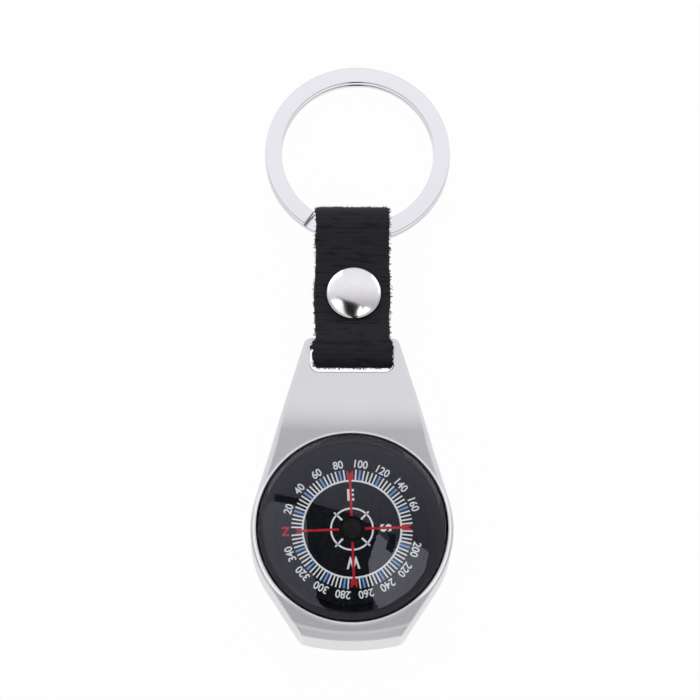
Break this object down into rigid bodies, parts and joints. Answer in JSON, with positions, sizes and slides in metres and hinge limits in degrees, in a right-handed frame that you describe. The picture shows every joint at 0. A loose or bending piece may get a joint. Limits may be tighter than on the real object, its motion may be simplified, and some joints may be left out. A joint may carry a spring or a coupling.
{
  "type": "compass keychain",
  "caption": "Key fob with a liquid-damped compass under a domed lens in a die-cast metal housing, on a riveted webbing strap and a split key ring.",
  "frame": {"origin": "where the compass needle's axis meets the housing's flat back", "axes": "+Z out of the dial, +Y along the object from the compass towards the key ring, +X to the right as the dial is read"},
  "size_m": [0.0324, 0.0971, 0.0121],
  "materials": {
    "satin_nickel": "satin nickel plate over die-cast zinc",
    "bright_nickel": "bright nickel plate",
    "ring_steel": "nickel-plated spring steel",
    "needle_steel": "polished steel",
    "hub_brass": "darkened brass",
    "black_plastic": "moulded, satin",
    "card_print": "printed card",
    "clear_lens": "clear moulded acrylic, domed",
    "black_rubber": "moulded",
    "tape_foam": "foam tape",
    "ferrite": "pressed ferrite",
    "black_webbing": "woven nylon webbing"
  },
  "bodies": {
    "housing": {"housing": "satin_nickel", "capsule_tape": "tape_foam", "capsule_cup": "black_plastic", "filler_plug": "black_rubber", "pivot_pin": "needle_steel", "lens_seal": "black_rubber", "lens": "clear_lens"},
    "card": {"card_float": "black_plastic", "card_face": "card_print", "jewel_bearing": "hub_brass", "hub_cap": "hub_brass", "magnet_left": "ferrite", "magnet_right": "ferrite"},
    "strap": {"strap": "black_webbing", "rivet_cap": "bright_nickel", "rivet_post": "bright_nickel"},
    "ring": {"split_ring": "ring_steel"}
  },
  "joints": [
    {"name": "card_spin", "type": "hinge", "parent": "housing", "child": "card", "pos_m": [0, 0, 0.0065], "axis": [0, 0, 1], "continuous": true},
    {"name": "strap_swing", "type": "hinge", "parent": "housing", "child": "strap", "pos_m": [0, 0.03125, 0.0052], "axis": [1, 0, 0], "range_deg": [-100, 110]},
    {"name": "ring_swing", "type": "hinge", "parent": "strap", "child": "ring", "pos_m": [0.001, 0.05085, 0.00379], "axis": [1, 0, 0], "range_deg": [-90, 90]}
  ]
}
